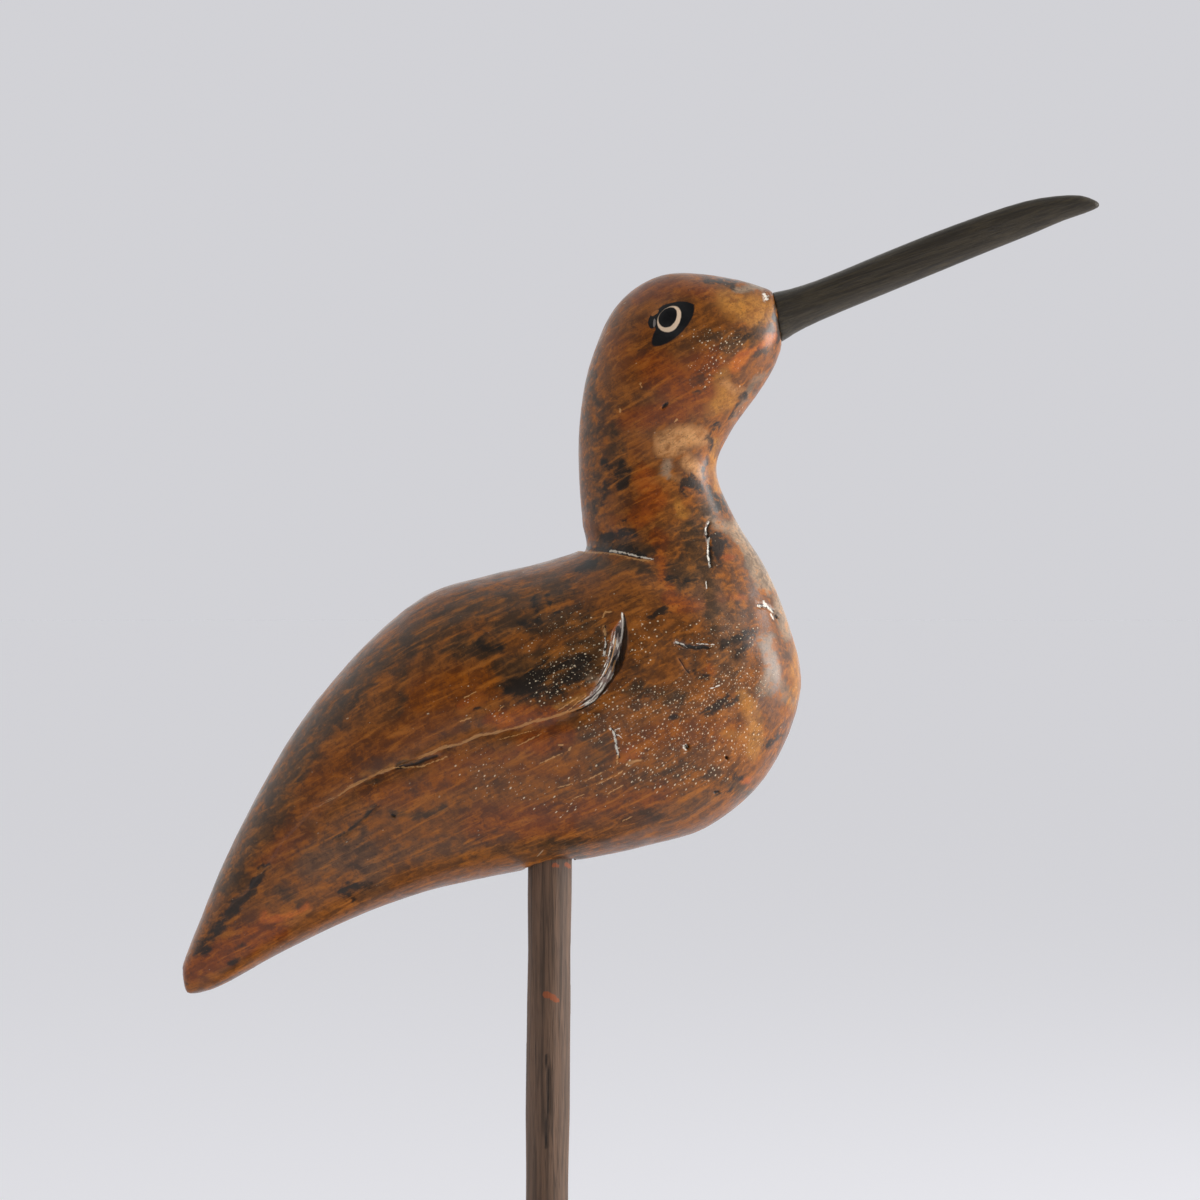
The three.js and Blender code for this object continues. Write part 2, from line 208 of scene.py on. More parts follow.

# Stains, brushed on by hand, and some strokes of painted highlight, sheen and shade, marked below. Each stroke:
# side, line, reach on each side of the line, strength
STAINS = {
    "gold": [
        (BOTH, [(-58, 27), (-50, 30)], 9, 0.8),
        (BOTH, [(-36, 46), (-26, 49), (-16, 50)], 8, 1.0),
        (BOTH, [(-66, 22), (-50, 32), (-30, 40)], 7, 0.7),
        (BOTH, [(-50, 19), (-40, 19), (-26, 24)], 5.5, 0.9),
        (BOTH, [(-8, 27), (6, 26)], 4, 0.6),
        (BOTH, [(20, 32), (36, 37), (52, 37)], 5.5, 0.85),
        (BOTH, [(20, 144), (24, 136), (28, 148)], 6, 0.7),
        (BOTH, [(-76, 10), (-66, 16)], 5, 0.6),
        (RIGHT, [(2, 43), (8, 46)], 3, 0.9),
        (BOTH, [(24, 116), (22, 100)], 4, 0.5),
        (BOTH, [(-88, -18), (-76, -17)], 5, 0.8),
    ],
    "rust": [
        (BOTH, [(30, 138), (40, 132), (44, 138)], 8, 0.85),
        (BOTH, [(22, 124), (36, 126)], 5, 0.7),
        (BOTH, [(-16, 40), (-6, 41), (0, 41)], 3.6, 1.0),
        (BOTH, [(-6, 33), (4, 35)], 5, 0.8),
        (BOTH, [(25, 97), (29, 102), (26, 108)], 4.5, 0.95),
        (BOTH, [(30, 92), (31, 84), (34, 76)], 3, 0.8),
        (BOTH, [(34, 73), (40, 72)], 4, 0.8),
        (BOTH, [(-20, 10), (0, 12), (16, 14), (30, 18)], 8, 0.6),
        (BOTH, [(-100, -30), (-90, -24), (-78, -19)], 5.5, 0.85),
        (BOTH, [(-84, 0), (-70, 6)], 6, 0.5),
        (BOTH, [(24, 158), (34, 161), (44, 160)], 4, 0.6),
        (RIGHT, [(18, 66), (17, 60)], 2, 0.6),
        (BOTH, [(-32, 28), (-12, 30)], 4, 0.5),
        (BOTH, [(45, 54.2), (45.4, 53.8)], 2, 0.9),
        (BOTH, [(18, 95), (24, 97)], 3, 0.5),
    ],
    "orange_and_highlight": [
        (RIGHT, [(41.4, 71.8), (42.6, 71.4)], 2.2, 1.0),
        (RIGHT, [(46, 74), (54, 74.4)], 2, 0.7),
        (RIGHT, [(-14, 41), (-6, 42)], 2.2, 0.8),
        (RIGHT, [(62.5, 147.2), (57, 143.6), (51, 138.6)], 1.9, 0.95),
        (RIGHT, [(48, 86), (50, 84.6)], 1.6, 0.7),
        # Painted highlight streak on the tail
        (RIGHT, [(-80, -15.4), (-74, -14.8), (-68, -13)], 1.6, 0.9),
        (RIGHT, [(53.4, 23), (55.4, 24)], 1.4, 0.8),
        (RIGHT, [(20, 29.6), (24, 31)], 2, 0.6),
        (RIGHT, [(37.4, 104.6), (38.4, 104.4)], 1.2, 0.7),
        (RIGHT, [(24, 94), (27, 97)], 2.4, 0.5),
        (RIGHT, [(-24, 42), (-20, 46)], 3, 0.5),
        (LEFT, [(30, 130), (34, 124)], 3, 0.7),
        (LEFT, [(-40, 34), (-30, 38)], 3, 0.7),
    ],
    "straw_and_highlight": [
        (BOTH, [(50, 157), (60, 154)], 5, 1.0),
        (BOTH, [(52, 152.5), (60, 152)], 2.6, 0.9),
        (BOTH, [(36, 99.4), (37.6, 98)], 2.6, 0.9),
        (BOTH, [(48, 136), (50, 130), (46, 127)], 3.6, 0.85),
        (BOTH, [(45.6, 118), (45.8, 110), (47.4, 104.6)], 1.8, 0.9),
        (BOTH, [(54, 46), (57, 40), (57, 31)], 3.4, 0.8),
        (BOTH, [(68, 60), (69, 52), (68, 44)], 2.4, 0.8),
        (BOTH, [(50, 37), (58, 33)], 3, 0.6),
        (RIGHT, [(2, 43.4), (9, 46.6)], 1.6, 0.8),
        # Painted highlight along the wing's edge
        (RIGHT, [(-52, 24.6), (-40, 28.4)], 1.2, 0.6),
    ],
    "tan": [
        (RIGHT, [(32.6, 117.4), (36, 118.6), (41, 119.4)], 5, 1.0),
        (LEFT, [(34, 118), (42, 120)], 3, 0.8),
        (RIGHT, [(38.4, 112.4), (41.6, 109.6)], 2.8, 0.9),
        (BOTH, [(62, 80), (66, 72), (68.4, 64)], 3, 0.8),
        (RIGHT, [(21.4, 27.8), (23, 28.4), (25.4, 29.4)], 0.9, 1.0),
        (BOTH, [(50, 134), (53, 132)], 2, 0.6),
        (BOTH, [(34, 109), (36, 107)], 2, 0.5),
    ],
    "grey": [
        (BOTH, [(52, 93), (57, 86), (61, 78)], 4, 0.95),
        (BOTH, [(64, 72), (66, 64)], 3.4, 0.7),
        (BOTH, [(33, 112), (32.4, 109)], 2.4, 0.7),
        (BOTH, [(45, 96), (49, 94)], 2.6, 0.7),
        # Painted sheen on the front of the crown
        (BOTH, [(52, 161), (59, 160)], 1.4, 0.8),
        # Partly the pale grey stain, partly a painted highlight on the breast's front
        (BOTH, [(60, 62), (62, 54), (60, 48)], 3.4, 0.6),
        (RIGHT, [(10.6, 53), (13, 51)], 2.4, 0.7),
        # Partly the pale grey stain, partly a painted highlight on the breast's front
        (BOTH, [(64, 50), (66, 46)], 3, 0.5),
        (RIGHT, [(59, 137), (54, 130), (51, 124)], 1.8, 0.5),
    ],
    "plum": [
        (BOTH, [(-66, 0), (-54, 4), (-50, -4)], 8, 0.8),
        (BOTH, [(-44, 2), (-24, 4), (-4, 4)], 6, 0.6),
        (BOTH, [(42, 78), (50, 68), (50, 56)], 8, 0.85),
        (BOTH, [(36, 60), (40, 54)], 5, 0.5),
        (BOTH, [(24, 44), (34, 46)], 4, 0.5),
        (BOTH, [(10, 10), (30, 13), (44, 18)], 5, 0.6),
        (BOTH, [(36, 92), (46, 98)], 5, 0.6),
        (BOTH, [(24, 52), (30, 62)], 5, 0.4),
    ],
    "umber_and_shade": [
        (BOTH, [(-90, -6), (-82, 8), (-68, 34), (-48, 56), (-24, 70), (2, 76)], 7, 0.75),
        (BOTH, [(-28, 60), (-16, 60)], 4.5, 0.8),
        (BOTH, [(-14, 66), (0, 68), (12, 66)], 6, 0.75),
        (BOTH, [(-10, 52), (4, 54), (12, 58)], 9, 0.95),
        (BOTH, [(-42, 42), (-41, 54)], 2, 0.6),
        (BOTH, [(12, 83), (26, 82.6)], 3, 0.85),
        # Painted shade in the notch above the shoulder's ledge
        (BOTH, [(14, 90), (20, 88.6), (28, 87.6)], 3, 0.95),
        (BOTH, [(12, 134), (12, 118), (13, 98)], 4, 0.6),
        (BOTH, [(18, 120), (20, 108)], 4, 0.6),
        (BOTH, [(36, 80), (42, 84), (40, 92)], 6, 0.9),
        (BOTH, [(44, 80), (46, 66)], 3, 0.75),
        (BOTH, [(42, 98), (46, 101)], 3.6, 0.8),
        (RIGHT, [(44, 148), (52, 146.6), (60, 150)], 3, 0.7),
        (RIGHT, [(50, 144), (56, 147)], 3.6, 0.9),
        (RIGHT, [(57, 141.6), (61, 143.4)], 1.6, 0.8),
        (RIGHT, [(41, 132), (43, 133)], 1.4, 0.7),
        (BOTH, [(38, 135), (44, 136)], 3, 0.4),
        (BOTH, [(28, 146), (30, 142)], 3, 0.3),
        (BOTH, [(22, 48), (27, 49)], 2.6, 0.8),
        (BOTH, [(31, 46), (37, 47)], 3, 0.7),
        (RIGHT, [(-44, 13), (-38, 13), (-28, 15.4)], 1.4, 0.8),
        (RIGHT, [(-48.6, 16), (-53, 11.6), (-59, 7)], 1.1, 0.8),
        # This stroke and the next: painted shade just below the wing's edge
        (RIGHT, [(-42, 27.6), (-36, 28)], 1.4, 0.9),
        (RIGHT, [(-52, 22.6), (-48, 22.4)], 1.2, 0.8),
        (BOTH, [(-86, 0), (-82, 4)], 3, 0.7),
        (BOTH, [(-76, -8), (-72, -10)], 3, 0.6),
        (RIGHT, [(10, 36), (16, 33), (12, 28)], 4, 0.6),
        (BOTH, [(24, 22), (38, 26), (46, 24)], 5, 0.55),
        (BOTH, [(50, 22), (55, 20)], 3, 0.75),
        (BOTH, [(0, 6), (8, 4)], 4, 0.7),
        (BOTH, [(18, 114), (14, 108)], 3, 0.6),
        (BOTH, [(30, 14), (22, 16)], 3, 0.5),
    ],
    "black_and_shade": [
        (RIGHT, [(-78.6, -1.4), (-82, -6), (-84.6, -8.8)], 1.7, 1.0),
        (RIGHT, [(-84.6, -8.8), (-90, -14.6)], 1.9, 0.8),
        (RIGHT, [(-90, -15), (-97, -24.4)], 3.0, 0.7),
        (RIGHT, [(-58.4, -8), (-51, -5.6)], 1.8, 0.75),
        (RIGHT, [(-56, -8.6), (-54.2, -11.8)], 1, 0.75),
        (RIGHT, [(-86.4, -23.4), (-83.4, -23.6)], 1, 0.6),
        (RIGHT, [(-90, -28.2), (-86.6, -27)], 1.1, 0.55),
        (RIGHT, [(-8, 49), (0, 52), (8, 55)], 7, 0.8),
        (RIGHT, [(-10, 48), (-4, 46.6)], 3, 0.7),
        (RIGHT, [(-4.4, 73), (-2.4, 68)], 1.3, 0.7),
        (RIGHT, [(-0.6, 74), (2.6, 69.8)], 1.3, 0.75),
        (RIGHT, [(-8, 67), (-2, 66.6)], 2, 0.6),
        (RIGHT, [(-22, 61), (-15, 60.4)], 2, 0.6),
        (RIGHT, [(8.6, 82.4), (12.8, 83.2)], 1.5, 0.8),
        (RIGHT, [(-15.6, 79.2), (-12, 80)], 1.3, 0.6),
        (RIGHT, [(27.4, 68.4), (30, 70.4), (32, 70.8)], 1.7, 0.9),
        # Painted shade in the notch above the shoulder's ledge
        (RIGHT, [(14, 90.4), (19, 91.4), (23.6, 92.2)], 1.7, 0.95),
        (RIGHT, [(18.6, 94.8), (21.6, 95.2)], 0.9, 0.85),
        # Painted shade in the notch above the shoulder's ledge
        (RIGHT, [(16, 88.2), (24, 87.8)], 1.6, 0.9),
        (RIGHT, [(20, 110.6), (20.4, 105)], 2.6, 0.85),
        (RIGHT, [(15.4, 111.6), (16.6, 110.4)], 1.5, 0.8),
        (RIGHT, [(16, 106), (15.4, 98)], 1.4, 0.5),
        (RIGHT, [(37, 106.6), (39.6, 107.6), (42, 103.8)], 2, 0.95),
        (RIGHT, [(36.6, 103.4), (38.4, 102.4)], 1.2, 0.7),
        (RIGHT, [(44.4, 105.4), (46.6, 101.4), (49, 98.6)], 1.7, 0.7),
        (RIGHT, [(46.4, 91), (47.6, 87.4)], 2.7, 0.95),
        (RIGHT, [(47, 86), (47.4, 83)], 1.4, 0.7),
        (RIGHT, [(50, 61.4), (56, 63.6)], 2.8, 0.8),
        (RIGHT, [(51, 57.4), (56, 59.4)], 2, 0.6),
        (RIGHT, [(38.4, 60.4), (43.6, 60.2)], 0.9, 0.95),
        (RIGHT, [(41, 53.4), (44.4, 51.8)], 1.3, 0.7),
        (RIGHT, [(33, 40.6), (36.8, 40.4)], 1.3, 0.85),
        (RIGHT, [(43.4, 41.6), (46, 43.2), (49, 44.8)], 1.8, 0.95),
        (RIGHT, [(51, 44.8), (53, 45.6)], 1, 0.85),
        (RIGHT, [(60.6, 33), (62.4, 34.4), (64.2, 35.2)], 1.5, 0.85),
        (RIGHT, [(60, 37.4), (61.2, 38)], 0.8, 0.7),
        (RIGHT, [(50.4, 24), (53, 24.4)], 1.5, 0.75),
        (RIGHT, [(46, 19.6), (49.6, 20)], 1, 0.8),
        (RIGHT, [(33, 79.4), (38, 78.4)], 1.6, 0.7),
        (RIGHT, [(44, 162.6), (47, 163), (51.4, 161.6)], 1.6, 0.75),
        (RIGHT, [(43.6, 158.4), (45.2, 158.2)], 1, 0.75),
        (RIGHT, [(52, 146.4), (57, 147.6)], 2, 0.6),
        (RIGHT, [(53.6, 130.4), (50.4, 125)], 1.5, 0.7),
        (RIGHT, [(41.4, 132.2), (42.6, 132.6)], 0.9, 0.7),
        (RIGHT, [(31.6, 127.4), (32.8, 128.6)], 0.9, 0.9),
        (RIGHT, [(46.6, 123), (44.6, 119.6), (43.4, 113), (43.4, 108)], 0.9, 0.8),
        (RIGHT, [(-21, 42.8), (-18.6, 43.4)], 0.9, 0.85),
        (RIGHT, [(12, 110), (12.6, 98)], 1.6, 0.35),
        (BOTH, [(62.9, 159.4), (63.2, 152), (64.6, 145.6)], 1.2, 1.0),
        (LEFT, [(-30, 40), (-22, 44)], 3, 0.85),
        (LEFT, [(8, 58), (20, 62)], 6, 0.85),
        (LEFT, [(40, 60), (46, 66)], 4, 0.8),
        (LEFT, [(18, 105), (24, 112)], 3.4, 0.9),
        (LEFT, [(36, 92), (40, 86)], 3, 0.9),
        (LEFT, [(48, 150), (56, 146)], 3.6, 0.85),
        (LEFT, [(-84, -6), (-76, 4)], 2.6, 0.9),
        (LEFT, [(30, 24), (40, 27)], 3, 0.7),
    ],
    "pores": [
        (BOTH, [(0, 50), (8, 54), (12, 58)], 8, 1.0),
        (BOTH, [(20, 42), (36, 44), (54, 50)], 9, 1.0),
        (BOTH, [(24, 34), (40, 34), (54, 34)], 7, 0.95),
        (BOTH, [(12, 38), (16, 44)], 5, 0.9),
        (BOTH, [(24, 25), (36, 24), (46, 27)], 6, 0.9),
        (BOTH, [(24, 60), (28, 66)], 6, 0.5),
        (BOTH, [(40, 62), (54, 64)], 7, 0.45),
        (BOTH, [(-4, 62), (8, 68)], 6, 0.4),
        (BOTH, [(-20, 26), (0, 20), (14, 22)], 8, 0.35),
        (BOTH, [(44, 146), (50, 144), (44, 138)], 6, 0.7),
        (BOTH, [(-24, 46), (-14, 44)], 5, 0.3),
    ],
}

# The crack and the rusty spots of the stick, as lines like those above, the spots with their reach
STICK_CRACK = [(-1.1, -80), (-0.4, -68), (-1, -54)]
STICK_SPOTS = [
    ([(1.2, -0.8), (1.8, -0.8)], 0.9),
    ([(4.8, -0.8), (5.2, -1)], 0.8),
    ([(-1.4, -37), (2.2, -38.6)], 1.1),
]


def only_select(piece):
    bpy.ops.object.select_all(action="DESELECT")
    piece.select_set(True)
    bpy.context.view_layer.objects.active = piece


def apply_modifier(piece, kind, **settings):
    """Adds a modifier to a piece with the given settings, and applies it."""
    only_select(piece)
    modifier = piece.modifiers.new(kind.lower(), kind)
    for setting, value in settings.items():
        setattr(modifier, setting, value)
    bpy.ops.object.modifier_apply(modifier=modifier.name)


def blank(node, cell, evenings):
    """A new piece with a node's shape, in even faces of the given size, ready to be carved."""
    name = node + "_surface"
    piece = bpy.data.objects.new(name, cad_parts[node].data.copy())
    bpy.context.scene.collection.objects.link(piece)
    piece.data.name = name
    only_select(piece)
    bpy.ops.object.mode_set(mode="EDIT")
    bpy.ops.mesh.select_all(action="SELECT")
    bpy.ops.mesh.remove_doubles(threshold=0.01 * MM)
    bpy.ops.object.mode_set(mode="OBJECT")
    apply_modifier(piece, "REMESH", mode="VOXEL", voxel_size=cell, use_smooth_shade=True)
    apply_modifier(piece, "SMOOTH", factor=0.5, iterations=evenings)
    return piece


def refine(piece, near):
    """Cuts the faces whose corners are all marked into four."""
    for parts in (piece.data.edges, piece.data.polygons):
        parts.foreach_set("select", np.zeros(len(parts), dtype=bool))
    piece.data.vertices.foreach_set("select", near)
    only_select(piece)
    bpy.ops.object.mode_set(mode="EDIT")
    bpy.ops.mesh.select_mode(type="VERT")
    bpy.ops.mesh.subdivide(number_cuts=1, smoothness=0)
    bpy.ops.object.mode_set(mode="OBJECT")


class Surface:
    """The vertices of a piece, with their places in millimetres as they look from its side."""

    def __init__(self, piece):
        count = len(piece.data.vertices)
        self.piece = piece
        self.places = np.empty(count * 3)
        self.normals = np.empty(count * 3)
        piece.data.vertices.foreach_get("co", self.places)
        piece.data.vertices.foreach_get("normal", self.normals)
        self.places = self.places.reshape(-1, 3)
        self.normals = self.normals.reshape(-1, 3)
        forward, self.across, up = ((self.places - np.array(ENTRY)) / MM).T
        nearer = 1 / (1 - np.abs(self.across) * MM / CAMERA_DISTANCE)
        self.forward = MIDDLE[0] + (forward - MIDDLE[0]) * nearer
        self.up = MIDDLE[1] + (up - MIDDLE[1]) * nearer
        self.depth = np.zeros(count)
        self.paints = {}

    def side(self, side):
        """How far each vertex belongs to a side of the bird, from 0 to 1."""
        if side == BOTH:
            return np.ones(len(self.across))
        return np.clip(0.5 + side * self.across / 4, 0, 1)

    def along(self, line):
        """Each vertex's distance from a line, positive to the left of the way it runs, and how far
        along the line it is, counted in the line's points."""
        best = np.full(len(self.forward), np.inf)
        signed = np.zeros_like(best)
        place = np.zeros_like(best)
        for i, ((f0, u0), (f1, u1)) in enumerate(zip(line, line[1:])):
            df, du = f1 - f0, u1 - u0
            to_f, to_u = self.forward - f0, self.up - u0
            share = np.clip((to_f * df + to_u * du) / (df * df + du * du), 0, 1)
            distance = np.hypot(to_f - share * df, to_u - share * du)
            nearer = distance < best
            best = np.where(nearer, distance, best)
            signed = np.where(nearer, np.where(df * to_u - du * to_f > 0, distance, -distance), signed)
            place = np.where(nearer, i + share, place)
        return signed, place

    def rough(self, size, seed, axis=(0, 0, 1), length=1.0):
        """Soft unevenness from -1 to 1, in lumps of about the given size in millimetres, and some
        times as long along an axis."""
        axis = np.array(Vector(axis).normalized())
        places = self.places / (size * MM)
        places = places - np.outer(places @ axis, axis) * (1 - 1 / length) + seed
        return np.array([noise.noise(place) for place in places])

    def wander(self, reach, size, seed):
        """The same surface with its places on the side moved about by up to the given reach, which
        gives a broken edge to what is drawn on it."""
        moved = copy.copy(self)
        moved.forward = self.forward + reach * self.rough(size, seed)
        moved.up = self.up + reach * self.rough(size, seed + 7)
        return moved

    def mark(self, name, values):
        """Adds to one of the paints, which hold a value from 0 to 1 for each vertex."""
        self.paints[name] = np.maximum(self.paints.get(name, 0), np.clip(values, 0, 1))

    def finish(self):
        """Cuts each vertex into the wood by its own depth, no farther out than the solids reach, and
        keeps the paints on the piece."""
        self.places -= self.normals * (self.depth * MM)[:, None]
        self.places = np.clip(self.places, *np.array(cad_box))
        self.piece.data.vertices.foreach_set("co", self.places.ravel())
        self.piece.data.update()
        for name, values in self.paints.items():
            layer = self.piece.data.attributes.new(name, "FLOAT", "POINT")
            layer.data.foreach_set("value", values.astype(np.float32))


def values_along(place, values):
    """The value at each place along a line, from one value for each of the line's points."""
    return np.interp(place, np.arange(len(values)), values)


def slope(distance, width):
    """1 on a line, falling straight to 0 at the width on either side of it."""
    return np.clip(1 - np.abs(distance) / width, 0, 1)


def refine_cuts(piece):
    """Makes the faces finer along the cuts, once, twice or three times."""
    reaches = [
        (WING_EDGE, BOTH, (1.8, 0.8, 0)),
        (SHOULDER, BOTH, (2.6, 1.2, 0)),
        (GOUGE, LEFT, (5, 2, 0)),
        (GOUGE, RIGHT, (6.2, 5.2, 4.4)),
    ]
    for _, side, line, half_width, _, _ in NICKS:
        reaches.append((line, side, (half_width + 1.3, half_width + 0.6, 0)))
    for level in range(3):
        surface = Surface(piece)
        near = np.zeros(len(surface.forward), dtype=bool)
        for line, side, reach in reaches:
            near |= (np.abs(surface.along(line)[0]) < reach[level]) & (surface.side(side) > 0.6)
        refine(piece, near)


def carve_wing_edge(surface):
    """The wing stands a little proud of the flank, its edge painted light as wear and highlight, with painted
    shade below.
    """
    below, place = surface.wander(0.5, 6, 11).along(WING_EDGE)
    depth = values_along(place, WING_EDGE_DEPTH)
    surface.depth += depth * np.where(below > 0, slope(below, 5.5), slope(below, 0.35))
    patchy = 0.5 + 0.9 * surface.rough(7, 12)
    # Painted shade on the flank just below the wing's edge
    surface.mark("shade_and_dirt", slope(below - 0.9, 1.3) * depth * 0.8 * patchy)
    # The edge is painted lighter, as wear and as a painted highlight
    surface.mark("worn", slope(below + 0.1, 0.7) * np.clip((8.2 - place) / 1.2, 0, 1) * (patchy + 0.4))


def carve_shoulder(surface):
    """A knife cut where the neck goes down behind the back, which leaves a narrow ledge: painted shade in the
    notch, and a painted highlight with wear on the ledge.
    """
    above, place = surface.along(SHOULDER)
    depth = values_along(place, SHOULDER_DEPTH)
    surface.depth += depth * np.where(above > 0, slope(above, 7), slope(above, 0.7))
    # Painted shade in the notch above the ledge
    surface.mark("shade_and_dirt", slope(above - 0.9, 1.1) * np.clip(depth, 0, 1) * 0.8)
    # Painted highlight on the ledge, along with its wear
    surface.mark("worn", slope(above + 0.5, 1.2) * np.clip(depth, 0, 1))


def carve_gouge(surface):
    """The deep cut at the front of the wing: a wide wall on the wing's side, a steep one in front,
    torn fibres along the middle, and splinters where it runs out."""
    ahead, place = surface.along(GOUGE)
    behind = -ahead
    depth = values_along(place, GOUGE_DEPTH)
    wing_wall = np.clip(1 - behind / values_along(place, GOUGE_WING_WALL), 0, 1)
    front_wall = np.clip(1 - ahead / values_along(place, GOUGE_FRONT_WALL), 0, 1)
    shape = np.where(behind > 0, wing_wall, front_wall)
    right, left = surface.side(RIGHT), surface.side(LEFT)
    inside = (np.clip(depth, 0, 1) * (behind > 0)) * right
    surface.depth += depth * shape * (right + 0.5 * left)
    # The steep front wall of the gouge is painted dark: a painted shadow
    shadow = np.clip(front_wall * 1.6, 0, 1) * (ahead > -0.15) * (depth > 0.3)
    surface.mark("shade_and_dirt", shadow * (right + 0.5 * left))
    surface.mark("scraped", np.clip(wing_wall * 2, 0, 1) * inside)
    near = (np.abs(ahead) < 7) & (surface.across < 0)
    strands = np.zeros(len(place))
    strands[near] = [noise.noise((0.8 * p, 2.0 * b, 5)) for p, b in zip(place[near], behind[near])]
    torn = inside * np.clip(wing_wall * 3, 0, 1)
    surface.depth -= 0.5 * strands * torn
    # The gaps between the torn fibres are painted dark as shade
    surface.mark("shade_and_dirt", torn * np.clip(-0.3 - 4 * strands, 0, 1))
    surface.mark("bare", torn * np.clip(4 * strands - 0.9 + 0.35 * slope(place - 7, 3), 0, 1))
    for i, (offset, half_width, start, end, paint) in enumerate(FIBRES):
        length = np.clip((place - start) / 0.3, 0, 1) * np.clip((end - place) / 0.4, 0, 1)
        stripe = slope(behind - offset, half_width) * length * np.clip(depth * 2, 0, 1) * right
        stripe = stripe * np.clip(0.85 + 1.1 * surface.rough(2.2, 30 + i, (0.2, 0, 1), 3), 0, 1)
        surface.depth -= 0.4 * stripe
        surface.mark(paint, stripe * 1.9)
    splinters = slope(behind - 0.9, 2.8) * slope(place - 7.6, 2.2) * right
    surface.mark("bare", splinters * np.clip(0.2 + 4 * strands, 0, 1) * 1.3)
    surface.depth -= 0.3 * splinters * np.clip(2 * strands, 0, 1)


def carve_nicks(surface):
    wandering = surface.wander(0.3, 2.5, 17)
    for _, side, line, half_width, cut, darkness in NICKS:
        distance, _ = wandering.along(line)
        here = slope(distance, half_width) * surface.side(side)
        surface.depth += cut * here
        # Splits and holes are painted darker, each by its own share
        surface.mark("shade_and_dirt", here * darkness * 1.2)


def brush_stains(surface):
    brushed = surface.wander(1.6, 5, 41).wander(0.7, 1.6, 43)
    for name, strokes in STAINS.items():
        for side, line, reach, force in strokes:
            distance, _ = brushed.along(line)
            surface.mark(name, force * (1 - (distance / reach) ** 2) * surface.side(side))


def carve_bird(piece):
    refine_cuts(piece)
    surface = Surface(piece)
    surface.depth += 0.16 * surface.rough(14, 1) + 0.08 * surface.rough(5, 2, WIPED, 2) - FULLNESS
    carve_wing_edge(surface)
    carve_shoulder(surface)
    carve_gouge(surface)
    carve_nicks(surface)
    brush_stains(surface)
    from_stick = np.hypot(surface.forward, surface.across)
    surface.mark("shade_and_dirt", slope(from_stick - 6.4, 1.2) * (surface.up < 6))
    surface.finish()


def whittle_bill(piece):
    """Sets the bill's root tight against the head, and leaves long shallow cuts down the blade."""
    surface = Surface(piece)
    outward = np.array((0.986, 0, 0.168))
    ahead = (surface.forward - 62.4) * outward[0] + (surface.up - 159.8) * outward[2]
    surface.places -= np.outer(np.clip(1 - ahead / 2.5, 0, 1), outward) * 0.8 * MM
    surface.depth += 0.1 + 0.16 * surface.rough(3, 51, (0.947, 0, 0.323), 9)
    surface.finish()


def whittle_stick(piece):
    """Long flats down the stick, the crack low on it and its rusty spots."""
    surface = Surface(piece)
    surface.depth += 0.12 + 0.2 * surface.rough(4.5, 61, (0, 0, 1), 9)
    crack = slope(surface.wander(0.4, 5, 63).along(STICK_CRACK)[0], 0.45) * surface.side(RIGHT)
    surface.depth += 0.5 * crack
    surface.mark("shade_and_dirt", crack * 1.5)
    wandering = surface.wander(0.6, 1.5, 65)
    for line, reach in STICK_SPOTS:
        surface.mark("spots", 1.2 * (1 - (wandering.along(line)[0] / reach) ** 2) * surface.side(RIGHT))
    surface.finish()


def wear_block(piece):
    """A block with uneven faces."""
    surface = Surface(piece)
    surface.depth += 0.25 * np.clip(0.6 + surface.rough(22, 71) + 0.6 * surface.rough(6, 72), 0, 1)
    surface.finish()


# Helpers for materials


def stain(red, green, blue):
    """A colour from its red, green and blue as shown on a screen, from 0 to 255."""
    shown = (red / 255, green / 255, blue / 255)
    return tuple(part / 12.92 if part <= 0.04045 else ((part + 0.055) / 1.055) ** 2.4 for part in shown)


def socket_of(tree, value, target):
    """Links a value to a socket if it comes from a node, and otherwise sets the socket to it."""
    if isinstance(value, bpy.types.NodeSocket):
        tree.links.new(value, target)
    elif isinstance(value, tuple) and len(value) == 3 and len(target.default_value) == 4:
        target.default_value = (*value, 1)
    else:
        target.default_value = value


def add(tree, kind, inputs=(), **settings):
    """A new node with its settings made and its inputs, given by name or number, set or linked."""
    node = tree.nodes.new(kind)
    for setting, value in settings.items():
        setattr(node, setting, value)
    for key, value in dict(inputs).items():
        socket_of(tree, value, node.inputs[key])
    return node


def math(tree, operation, a, b=0.0):
    return add(tree, "ShaderNodeMath", {0: a, 1: b}, operation=operation).outputs[0]


def vector(tree, operation, a, b=(0.0, 0.0, 0.0)):
    return add(tree, "ShaderNodeVectorMath", {0: a, 1: b}, operation=operation).outputs


def scaled(tree, places, scale):
    return add(tree, "ShaderNodeVectorMath", {0: places, "Scale": scale}, operation="SCALE").outputs[0]


def mix(tree, share, a, b):
    """Colour a turned to colour b by a share from 0 to 1."""
    return add(tree, "ShaderNodeMix", {0: share, 6: a, 7: b}, data_type="RGBA").outputs[2]


def stretch(tree, value, low, high, to_low=0.0, to_high=1.0):
    """A value between low and high, stretched softly to run between two others."""
    inputs = {"Value": value, "From Min": low, "From Max": high, "To Min": to_low, "To Max": to_high}
    return add(tree, "ShaderNodeMapRange", inputs, interpolation_type="SMOOTHSTEP").outputs[0]


def cloud(tree, places, size, detail=4.0, roughness=0.55, distortion=0.0):
    """A cloudy value, with clouds of about the given size in the unit of the places."""
    inputs = {
        "Vector": places,
        "Scale": 1 / size,
        "Detail": detail,
        "Roughness": roughness,
        "Distortion": distortion,
    }
    return add(tree, "ShaderNodeTexNoise", inputs).outputs["Fac"]


def field(tree, name):
    """A value that was kept for each vertex of the piece."""
    return add(tree, "ShaderNodeAttribute", attribute_name=name).outputs["Fac"]


